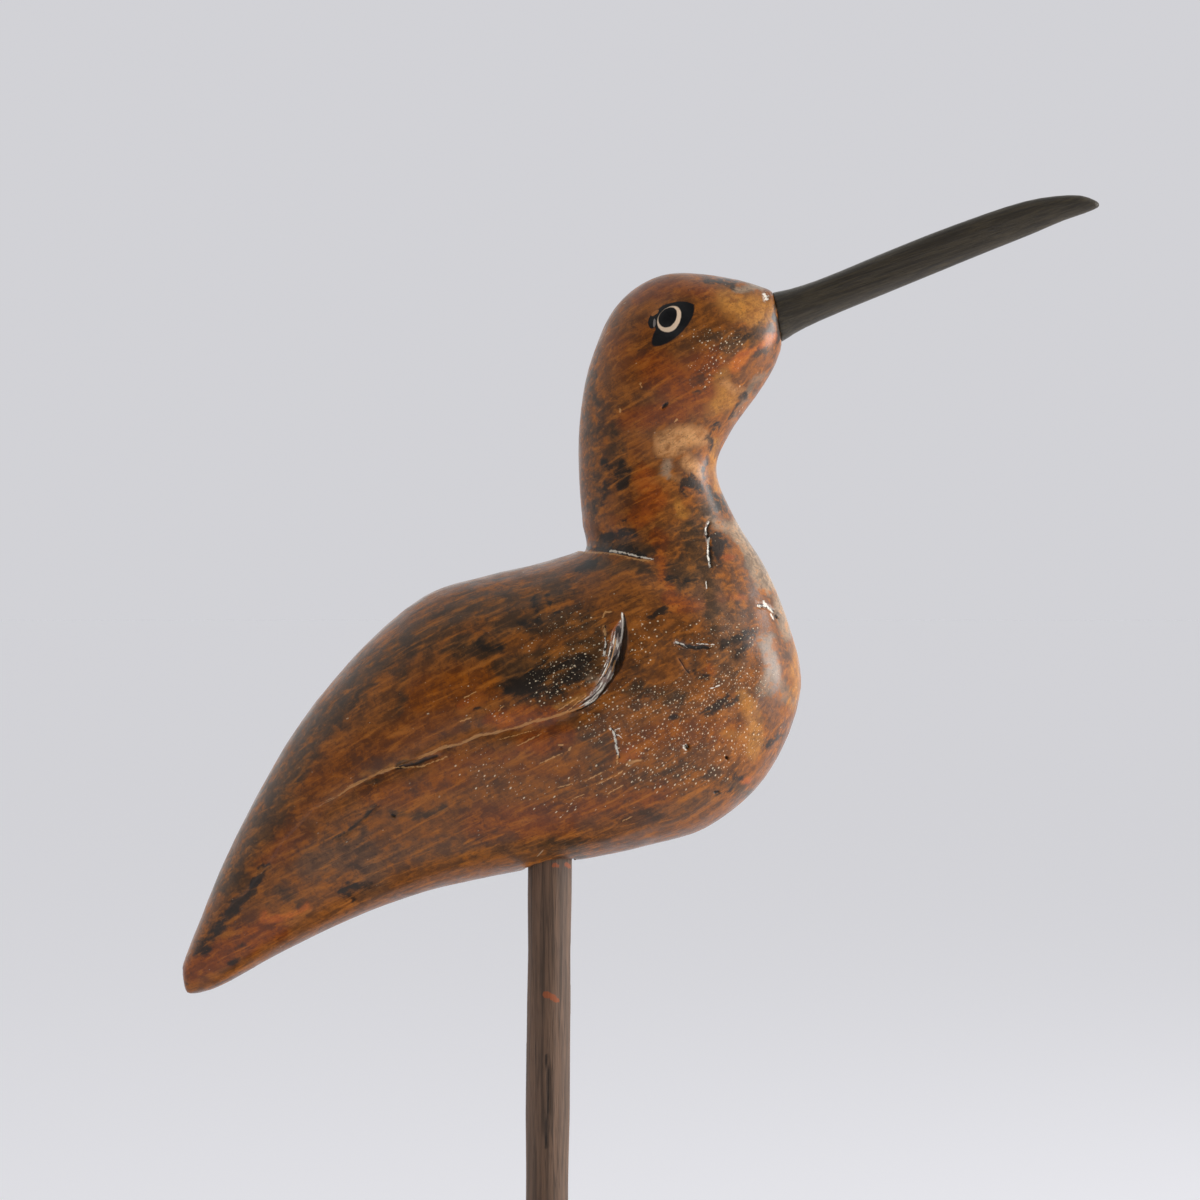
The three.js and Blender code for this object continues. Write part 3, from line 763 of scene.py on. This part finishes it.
def millimetres(tree, grain=None):
    """Places on a piece in millimetres from where the stick enters the belly, and if the wood's grain
    is given, turned so that the first of the three runs along it."""
    places = add(tree, "ShaderNodeTexCoord").outputs["Object"]
    places = scaled(tree, vector(tree, "SUBTRACT", places, tuple(ENTRY))[0], 1 / MM)
    if grain is None:
        return places
    grain = Vector(grain).normalized()
    second = grain.cross(Vector((0, 1, 0.3))).normalized()
    turn = Matrix((grain, second, grain.cross(second))).to_euler()
    return add(tree, "ShaderNodeMapping", {"Vector": places, "Rotation": turn}).outputs[0]


def on_the_side(tree, places, across, reach, size):
    """Places as they look from the bird's side, moved about a little, so that what is drawn on them has
    an edge like a hand-drawn one."""
    middle = (MIDDLE[0], 0, MIDDLE[1])
    depth = math(tree, "MULTIPLY", math(tree, "ABSOLUTE", across), MM / CAMERA_DISTANCE)
    nearer = math(tree, "DIVIDE", 1.0, math(tree, "SUBTRACT", 1.0, depth))
    places = scaled(tree, vector(tree, "SUBTRACT", places, middle)[0], nearer)
    places = vector(tree, "ADD", places, middle)[0]
    inputs = {"Vector": places, "Scale": 1 / size, "Detail": 2.0}
    clouds = add(tree, "ShaderNodeTexNoise", inputs).outputs["Color"]
    shift = scaled(tree, vector(tree, "SUBTRACT", clouds, (0.5, 0.5, 0.5))[0], 2 * reach)
    return vector(tree, "MULTIPLY", vector(tree, "ADD", places, shift)[0], (1, 0, 1))[0]


def group(name, inputs, outputs):
    """A new shader node group, with its input and output nodes."""
    tree = bpy.data.node_groups.new(name, "ShaderNodeTree")
    for socket, value in inputs.items():
        kind = "NodeSocketVector" if value is None else "NodeSocketFloat"
        made = tree.interface.new_socket(socket, in_out="INPUT", socket_type=kind)
        if value is not None:
            made.default_value = value
    for socket in outputs:
        tree.interface.new_socket(socket, in_out="OUTPUT", socket_type="NodeSocketFloat")
    return tree, tree.nodes.new("NodeGroupInput").outputs, tree.nodes.new("NodeGroupOutput").inputs


def use(tree, made, inputs):
    """Places a node group in a tree, and gives its outputs."""
    return add(tree, "ShaderNodeGroup", inputs, node_tree=made).outputs


def ragged_edge_group():
    """A mask with a broken edge, from a soft field and a cloud that breaks it up."""
    inputs = {"Field": 0.0, "Cloud": 0.5, "Breakup": 1.8, "Softness": 0.28}
    tree, given, out = group("Ragged edge", inputs, ["Mask"])
    lift = math(tree, "MULTIPLY", math(tree, "SUBTRACT", given["Cloud"], 0.5), given["Breakup"])
    lift = math(tree, "MULTIPLY", lift, stretch(tree, given["Field"], 0, 0.25))
    broken = math(tree, "ADD", given["Field"], lift)
    low = math(tree, "SUBTRACT", 0.5, given["Softness"])
    high = math(tree, "ADD", 0.5, given["Softness"])
    tree.links.new(stretch(tree, broken, low, high), out["Mask"])
    return tree


def squeezed(tree, places, length, width):
    """Places whose first part is counted in lengths and whose other parts in widths."""
    parts = add(tree, "ShaderNodeSeparateXYZ", {0: places}).outputs
    sizes = (length, width, width)
    made = {i: math(tree, "DIVIDE", parts[i], size) for i, size in enumerate(sizes)}
    return add(tree, "ShaderNodeCombineXYZ", made).outputs[0]


def grain_group():
    """Streaks of wood grain that run along the first of the three given places."""
    inputs = {"Places": None, "Width": 1.0, "Length": 20.0}
    tree, given, out = group("Wood grain", inputs, ["Streaks", "Fibres"])
    places = squeezed(tree, given["Places"], given["Length"], given["Width"])
    tree.links.new(cloud(tree, places, 1, 3, 0.6, 0.6), out["Streaks"])
    tree.links.new(cloud(tree, places, 0.22, 2, 0.6), out["Fibres"])
    return tree


def pores_group():
    """Vessels of the wood that are cut open: dots where they end in the surface and dashes where
    they lie along it. They run along the first of the three given places."""
    inputs = {"Places": None, "Spacing": 1.1, "Radius": 0.2, "Dash": 4.0, "Amount": 1.0}
    tree, given, out = group("Open pores", inputs, ["Mask"])
    ahead, across, up = add(tree, "ShaderNodeSeparateXYZ", {0: given["Places"]}).outputs
    drift = math(tree, "MULTIPLY", cloud(tree, given["Places"], 25, 1), 6.0)
    across = math(tree, "DIVIDE", math(tree, "ADD", across, drift), given["Spacing"])
    up = math(tree, "DIVIDE", up, given["Spacing"])
    flat = add(tree, "ShaderNodeCombineXYZ", {0: across, 1: up}).outputs[0]
    cell = {"Vector": flat, "Scale": 1.0, "Randomness": 0.9}
    cells = add(tree, "ShaderNodeTexVoronoi", cell, voronoi_dimensions="2D").outputs
    chance, own_size, own_start = add(tree, "ShaderNodeSeparateColor", {0: cells["Color"]}).outputs
    radius = math(tree, "DIVIDE", given["Radius"], given["Spacing"])
    radius = math(tree, "MULTIPLY", radius, stretch(tree, own_size, 0, 1, 0.35, 1.3))
    disc = stretch(tree, cells["Distance"], radius, math(tree, "MULTIPLY", radius, 0.5))
    lengthwise = math(tree, "DIVIDE", ahead, given["Dash"])
    start = math(tree, "MULTIPLY", own_start, 60.0)
    strand = add(tree, "ShaderNodeCombineXYZ", {0: lengthwise, 1: start}).outputs[0]
    open_here = stretch(tree, cloud(tree, strand, 0.6, 1), 0.4, 0.46)
    chosen = stretch(tree, math(tree, "SUBTRACT", given["Amount"], chance), 0.0, 0.05)
    mask = math(tree, "MULTIPLY", math(tree, "MULTIPLY", disc, open_here), chosen)
    tree.links.new(mask, out["Mask"])
    return tree


def leaf_group():
    """One painted spot, egg-shaped or pointed like a leaf, with its centre, half sizes, turn and
    taper, in millimetres."""
    inputs = {
        "Places": None,
        "Forward": 0.0,
        "Up": 0.0,
        "Length": 1.0,
        "Width": 1.0,
        "Turn": 0.0,
        "Taper": 0.0,
        "Roundness": 2.0,
        "Softness": 0.09,
    }
    tree, given, out = group("Painted spot", inputs, ["Mask"])
    parts = add(tree, "ShaderNodeSeparateXYZ", {0: given["Places"]}).outputs
    forward = math(tree, "SUBTRACT", parts[0], given["Forward"])
    up = math(tree, "SUBTRACT", parts[2], given["Up"])
    cosine, sine = math(tree, "COSINE", given["Turn"]), math(tree, "SINE", given["Turn"])
    ahead = math(tree, "ADD", math(tree, "MULTIPLY", forward, cosine), math(tree, "MULTIPLY", up, sine))
    beside = math(tree, "SUBTRACT", math(tree, "MULTIPLY", up, cosine), math(tree, "MULTIPLY", forward, sine))
    ahead = math(tree, "DIVIDE", ahead, given["Length"])
    narrowing = math(tree, "SUBTRACT", 1.0, math(tree, "MULTIPLY", ahead, given["Taper"]))
    beside = math(tree, "DIVIDE", math(tree, "DIVIDE", beside, given["Width"]), narrowing)
    beside = math(tree, "POWER", math(tree, "ABSOLUTE", beside), given["Roundness"])
    reach = math(tree, "ADD", math(tree, "MULTIPLY", ahead, ahead), beside)
    inner = math(tree, "SUBTRACT", 1.0, given["Softness"])
    outer = math(tree, "ADD", 1.0, given["Softness"])
    tree.links.new(stretch(tree, reach, outer, inner), out["Mask"])
    return tree


def line_group():
    """One straight line with soft edges, from its start, its run and the run over its length squared."""
    inputs = {"Places": None, "Start": None, "Run": None, "Measure": None, "Half width": 0.3}
    tree, given, out = group("Drawn line", inputs, ["Mask"])
    from_start = vector(tree, "SUBTRACT", given["Places"], given["Start"])[0]
    share = vector(tree, "DOT_PRODUCT", from_start, given["Measure"])["Value"]
    share = add(tree, "ShaderNodeClamp", {0: share}).outputs[0]
    distance = vector(tree, "DISTANCE", from_start, scaled(tree, given["Run"], share))["Value"]
    outer = math(tree, "MULTIPLY", given["Half width"], 1.5)
    inner = math(tree, "MULTIPLY", given["Half width"], 0.5)
    tree.links.new(stretch(tree, distance, outer, inner), out["Mask"])
    return tree


GRAIN = grain_group()
RAGGED = ragged_edge_group()
PORES = pores_group()
LEAF = leaf_group()
LINE = line_group()


def new_material(name, roughness=0.4):
    made = bpy.data.materials.new(name)
    made.use_nodes = True
    surface = made.node_tree.nodes["Principled BSDF"]
    surface.inputs["Roughness"].default_value = roughness
    return made, made.node_tree, surface.inputs


# The bird's wood and its coats of stain: name, lighter colour, darker colour, how well it covers, and
# how soft its edge is. Some strokes of these coats are painted highlights, sheen and shade.
BASE = stain(162, 94, 34), stain(112, 64, 22)
GLOW = stain(206, 128, 52)
COATS = [
    ("gold", stain(168, 88, 4), stain(118, 58, 2), 0.85, 0.4),
    ("rust", stain(176, 84, 10), stain(126, 56, 6), 0.8, 0.4),
    ("orange_and_highlight", stain(226, 128, 40), stain(186, 90, 24), 0.8, 0.42),
    ("straw_and_highlight", stain(212, 146, 62), stain(166, 102, 34), 0.8, 0.42),
    ("tan", stain(228, 170, 110), stain(192, 126, 64), 0.9, 0.4),
    ("grey", stain(196, 172, 144), stain(144, 120, 94), 0.8, 0.36),
    ("plum", stain(124, 90, 62), stain(90, 62, 42), 0.75, 0.4),
    ("umber_and_shade", stain(104, 72, 40), stain(70, 48, 26), 0.85, 0.36),
    ("black_and_shade", stain(50, 40, 30), stain(28, 24, 20), 0.9, 0.28),
]
SOIL = stain(44, 32, 20)
# Bare wood, which also paints highlights on the shoulder's ledge and on the gouge's wall
BARE_AND_LIT_WOOD = stain(250, 242, 226)
TORN_WOOD = stain(226, 168, 104)
# Edges painted lighter, as wear and as a painted highlight
WORN_AND_LIT_EDGE = stain(206, 148, 86)
SCRAPED_WOOD = stain(160, 148, 142)
# Painted shade in the cuts, and darkening in splits, holes and round the stick
SHADE_AND_DIRT_COLOUR = stain(26, 20, 14)
PORE_FILL = stain(246, 226, 190)

EYE_BLACK = stain(16, 16, 18)
EYE_CREAM = stain(244, 214, 182)
# Each spot of the eye: colour, its two ends, half width, taper, roundness
EYE_SPOTS = [
    (EYE_BLACK, (28.7, 144.7), (40.2, 156.0), 3.1, 0.0, 1.7),
    (EYE_BLACK, (30.2, 154.0), (40.3, 155.9), 1.9, 0.0, 1.6),
    (EYE_BLACK, (28.3, 149.4), (29.1, 153.4), 1.2, 0.0, 2),
    (EYE_BLACK, (30.3, 148.5), (36.3, 155.7), 4.0, 0.0, 2),
    (stain(170, 106, 50), (28.4, 153.0), (30.4, 154.6), 0.5, 0.0, 2),
    # A painted reflection on the left side of the eye's bulge
    (stain(132, 124, 118), (29.1, 149.8), (29.3, 152.2), 0.35, 0.0, 1.6),
    (EYE_CREAM, (31.2, 148.9), (35.8, 155.4), 2.95, 0.12, 2),
    (EYE_BLACK, (31.2, 150.1), (34.9, 155.1), 2.3, 0.12, 2),
]


def painted_eye(tree, places, colour):
    for paint, (f0, u0), (f1, u1), width, taper, roundness in EYE_SPOTS:
        spot = {
            "Places": places,
            "Forward": (f0 + f1) / 2,
            "Up": (u0 + u1) / 2,
            "Length": float(np.hypot(f1 - f0, u1 - u0) / 2),
            "Width": width,
            "Turn": atan2(u1 - u0, f1 - f0),
            "Taper": taper,
            "Roundness": roundness,
        }
        colour = mix(tree, use(tree, LEAF, spot)["Mask"], colour, paint)
    return colour


def drawn_lines(tree, places, sides, lines, swelling):
    """A mask of lines drawn on the bird's sides, which swell and thin out along their way."""
    drawn = {RIGHT: 0.0, LEFT: 0.0}
    for side, half_width, line in lines:
        for start, end in zip(line, line[1:]):
            run = Vector((end[0] - start[0], 0, end[1] - start[1]))
            inputs = {
                "Places": places,
                "Start": (start[0], 0, start[1]),
                "Run": tuple(run),
                "Measure": tuple(run / run.length_squared),
                "Half width": math(tree, "MULTIPLY", swelling, half_width),
            }
            drawn[side] = math(tree, "MAXIMUM", drawn[side], use(tree, LINE, inputs)["Mask"])
    masks = [math(tree, "MULTIPLY", drawn[side], sides[side]) for side in drawn]
    return math(tree, "MAXIMUM", *masks)


def painted_coats(tree, colour, tone, breakup):
    for name, light, dark, cover, softness in COATS:
        coat = mix(tree, tone, light, dark)
        inputs = {"Field": field(tree, name), "Cloud": breakup, "Breakup": 2.2, "Softness": softness}
        mask = use(tree, RAGGED, inputs)["Mask"]
        colour = mix(tree, math(tree, "MULTIPLY", mask, cover), colour, coat)
    return colour


def marked(tree, name, cloudy, breakup):
    """A painted mark with a broken edge."""
    inputs = {"Field": field(tree, name), "Cloud": cloudy, "Breakup": breakup, "Softness": 0.16}
    return use(tree, RAGGED, inputs)["Mask"]


def stained_wood():
    """The bird's wood: stains in patches one over another, pale open pores, varnish and wear, painted shade in its
    cuts and painted highlights on some edges.
    """
    made, tree, surface = new_material("stained wood")
    places = millimetres(tree)
    along = millimetres(tree, WOOD_GRAIN)
    across = add(tree, "ShaderNodeSeparateXYZ", {0: places}).outputs[1]
    sides = {RIGHT: stretch(tree, across, 2, -2), LEFT: stretch(tree, across, -2, 2)}
    wiped = millimetres(tree, WIPED)
    streaks, fibres = use(tree, GRAIN, {"Places": wiped, "Width": 1.7, "Length": 12.0})
    clouds = cloud(tree, places, 3.4, 7, 0.68, 0.4)
    broad = cloud(tree, places, 11, 5, 0.6, 0.3)
    specks = cloud(tree, places, 0.7, 3, 0.7)
    breakup = math(tree, "ADD", math(tree, "MULTIPLY", streaks, 0.45), math(tree, "MULTIPLY", clouds, 0.55))

    tone = stretch(tree, breakup, 0.38, 0.6)
    colour = painted_coats(tree, mix(tree, tone, *BASE), tone, breakup)
    colour = mix(tree, stretch(tree, streaks, 0.46, 0.3, 0, 0.3), colour, GLOW)
    soiled = math(tree, "MULTIPLY", stretch(tree, broad, 0.42, 0.66), stretch(tree, breakup, 0.4, 0.6))
    colour = mix(tree, math(tree, "MULTIPLY", soiled, 0.5), colour, SOIL)
    colour = mix(tree, stretch(tree, specks, 0.52, 0.72, 0, 0.5), colour, SOIL)
    colour = mix(tree, stretch(tree, specks, 0.36, 0.26, 0, 0.3), colour, GLOW)
    colour = mix(tree, stretch(tree, fibres, 0.5, 0.8, 0, 0.3), colour, SOIL)

    amount = math(tree, "ADD", field(tree, "pores"), 0.03)
    pores = use(tree, PORES, {"Places": along, "Amount": amount})["Mask"]
    fine = {"Places": along, "Amount": math(tree, "MULTIPLY", amount, 0.7), "Spacing": 0.7, "Radius": 0.12}
    pores = math(tree, "MAXIMUM", pores, math(tree, "MULTIPLY", use(tree, PORES, fine)["Mask"], 0.55))
    colour = mix(tree, math(tree, "MULTIPLY", pores, 0.85), colour, PORE_FILL)

    # Edges lightened as wear and as a painted highlight
    worn = marked(tree, "worn", fibres, 1.6)
    colour = mix(tree, math(tree, "MULTIPLY", worn, 0.65), colour, WORN_AND_LIT_EDGE)
    scraped = marked(tree, "scraped", fibres, 1.2)
    colour = mix(tree, math(tree, "MULTIPLY", scraped, 0.75), colour, SCRAPED_WOOD)
    # Cuts darkened with painted shade; splits, holes and the stick's entry darkened too
    shade_and_dirt = marked(tree, "shade_and_dirt", breakup, 0.8)
    colour = mix(tree, math(tree, "MULTIPLY", shade_and_dirt, 0.85), colour, SHADE_AND_DIRT_COLOUR)
    seen = on_the_side(tree, places, across, 0.35, 0.9)
    swelling = stretch(tree, cloud(tree, places, 0.9, 2), 0.34, 0.6, 0.1, 1.2)
    torn = drawn_lines(tree, seen, sides, TORN_LINES, swelling)
    torn = math(tree, "MAXIMUM", torn, marked(tree, "torn", fibres, 1.0))
    colour = mix(tree, math(tree, "MULTIPLY", torn, 0.7), colour, TORN_WOOD)
    # Bare wood in scratches and splinters, and painted highlights on the ledge and in the gouge
    bare = drawn_lines(tree, seen, sides, BARE_AND_LIT_LINES, swelling)
    bare = math(tree, "MAXIMUM", bare, marked(tree, "bare", fibres, 1.0))
    colour = mix(tree, math(tree, "MULTIPLY", bare, 0.9), colour, BARE_AND_LIT_WOOD)
    colour = painted_eye(tree, on_the_side(tree, places, across, 0.12, 1.0), colour)
    socket_of(tree, colour, surface["Base Color"])

    rough = stretch(tree, cloud(tree, places, 5, 4), 0.36, 0.66, 0.3, 0.46)
    socket_of(tree, math(tree, "ADD", rough, math(tree, "MULTIPLY", bare, 0.2)), surface["Roughness"])
    surface["Specular IOR Level"].default_value = 0.22
    varnish = stretch(tree, breakup, 0.36, 0.54, 0.12, 0.42)
    socket_of(tree, math(tree, "SUBTRACT", varnish, math(tree, "MULTIPLY", bare, 0.12)), surface["Coat Weight"])
    surface["Coat Roughness"].default_value = 0.26
    height = math(tree, "ADD", math(tree, "MULTIPLY", fibres, 0.4), clouds)
    height = math(tree, "SUBTRACT", height, math(tree, "MULTIPLY", pores, 0.3))
    bump = add(tree, "ShaderNodeBump", {"Strength": 0.5, "Distance": 0.25 * MM, "Height": height})
    socket_of(tree, bump.outputs[0], surface["Normal"])
    return made


def plain_wood(name, light, dark, roughness, grain, width, length):
    """A wood of two colours, with its grain along the given way, and its own cracks and spots."""
    made, tree, surface = new_material(name, roughness)
    places = millimetres(tree, grain)
    streaks, fibres = use(tree, GRAIN, {"Places": places, "Width": width, "Length": length})
    colour = mix(tree, stretch(tree, streaks, 0.3, 0.7), light, dark)
    darkest = tuple(part * 0.35 for part in dark)
    colour = mix(tree, stretch(tree, fibres, 0.5, 0.8, 0, 0.7), colour, darkest)
    colour = mix(tree, math(tree, "MULTIPLY", marked(tree, "spots", fibres, 1.4), 0.8), colour, stain(168, 84, 38))
    colour = mix(tree, math(tree, "MULTIPLY", field(tree, "shade_and_dirt"), 0.9), colour, SHADE_AND_DIRT_COLOUR)
    socket_of(tree, colour, surface["Base Color"])
    height = math(tree, "ADD", fibres, streaks)
    bump = add(tree, "ShaderNodeBump", {"Strength": 0.5, "Distance": 0.25 * MM, "Height": height})
    socket_of(tree, bump.outputs[0], surface["Normal"])
    return made


def finish_piece(piece, node, made):
    """Puts a material on a finished piece, and sets the piece in the place of its node."""
    piece.data.materials.clear()
    piece.data.materials.append(made)
    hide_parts(node)
    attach(piece, "root")


# Camera, floor and light


def build_camera():
    camera = bpy.data.objects.new("camera", bpy.data.cameras.new("camera"))
    camera.data.sensor_width = SENSOR_WIDTH
    camera.data.lens = SENSOR_WIDTH * CAMERA_DISTANCE / FIELD_WIDTH
    camera.location = FIELD_CENTRE - Vector((0, CAMERA_DISTANCE, 0))
    camera.rotation_euler = (pi / 2, 0, 0)
    bpy.context.scene.collection.objects.link(camera)
    bpy.context.scene.camera = camera


def build_floor():
    bpy.ops.object.select_all(action="DESELECT")
    bpy.ops.mesh.primitive_circle_add(vertices=96, radius=60, fill_type="NGON")
    floor = bpy.context.object
    floor.name = "floor"
    made, _, surface = new_material("pale floor", 0.9)
    surface["Base Color"].default_value = (*PALE, 1)
    surface["Specular IOR Level"].default_value = 0.0
    floor.data.materials.append(made)


def build_room():
    """A pale room, bright behind the bird and at its sides, and dim in front of it.

    Its light changes with the direction alone, and on the floor it averages to FLOOR_LIGHT. The
    camera sees the room as bright as that floor, and so no horizon.
    """
    world = bpy.data.worlds.new("pale room")
    world.use_nodes = True
    tree = world.node_tree
    direction = add(tree, "ShaderNodeTexCoord").outputs["Generated"]
    right, behind, above = add(tree, "ShaderNodeSeparateXYZ", {0: direction}).outputs
    parts = [
        (ROOM_FRONT, math(tree, "MAXIMUM", math(tree, "MULTIPLY", behind, -1.0), 0.0)),
        (ROOM_BEHIND, math(tree, "MAXIMUM", behind, 0.0)),
        (ROOM_ABOVE, math(tree, "MULTIPLY", above, above)),
        (ROOM_RIGHT, right),
    ]
    strength = ROOM_EVEN
    for weight, part in parts:
        strength = math(tree, "ADD", strength, math(tree, "MULTIPLY", part, weight))
    seen = add(tree, "ShaderNodeLightPath").outputs["Is Camera Ray"]
    floor_light = tuple(FLOOR_LIGHT * part for part in PALE)
    socket_of(tree, mix(tree, seen, strength, floor_light), tree.nodes["Background"].inputs["Color"])
    bpy.context.scene.world = world


def build_window():
    """One tall soft light on the right, which looks at the middle of the bird."""
    light = bpy.data.objects.new("window", bpy.data.lights.new("window", "AREA"))
    light.data.shape = "RECTANGLE"
    light.data.size = WINDOW["width"]
    light.data.size_y = WINDOW["height"]
    light.data.energy = WINDOW["power"]
    light.location = WINDOW["place"]
    light.rotation_euler = (FIELD_CENTRE - light.location).to_track_quat("-Z", "Y").to_euler()
    bpy.context.scene.collection.objects.link(light)
    bpy.context.scene.view_settings.view_transform = "Standard"


build_camera()
build_floor()
build_room()
build_window()

bird = blank("carved_bird", BIRD_CELL, 10)
carve_bird(bird)
finish_piece(bird, "carved_bird", stained_wood())
bill = blank("bill", BILL_CELL, 3)
whittle_bill(bill)
bill_wood = plain_wood("dark wood", stain(70, 60, 42), stain(40, 33, 22), 0.42, (0.947, 0, 0.323), 0.7, 14.0)
finish_piece(bill, "bill", bill_wood)
stick = blank("stick", STICK_CELL, 2)
whittle_stick(stick)
stick_wood = plain_wood("stick wood", stain(122, 92, 70), stain(76, 56, 40), 0.6, (0, 0, 1), 1.2, 30.0)
finish_piece(stick, "stick", stick_wood)
block = blank("block", BLOCK_CELL, 3)
wear_block(block)
block_wood = plain_wood("block wood", stain(98, 70, 50), stain(62, 44, 32), 0.5, (1, 0, 0), 2.5, 50.0)
finish_piece(block, "block", block_wood)
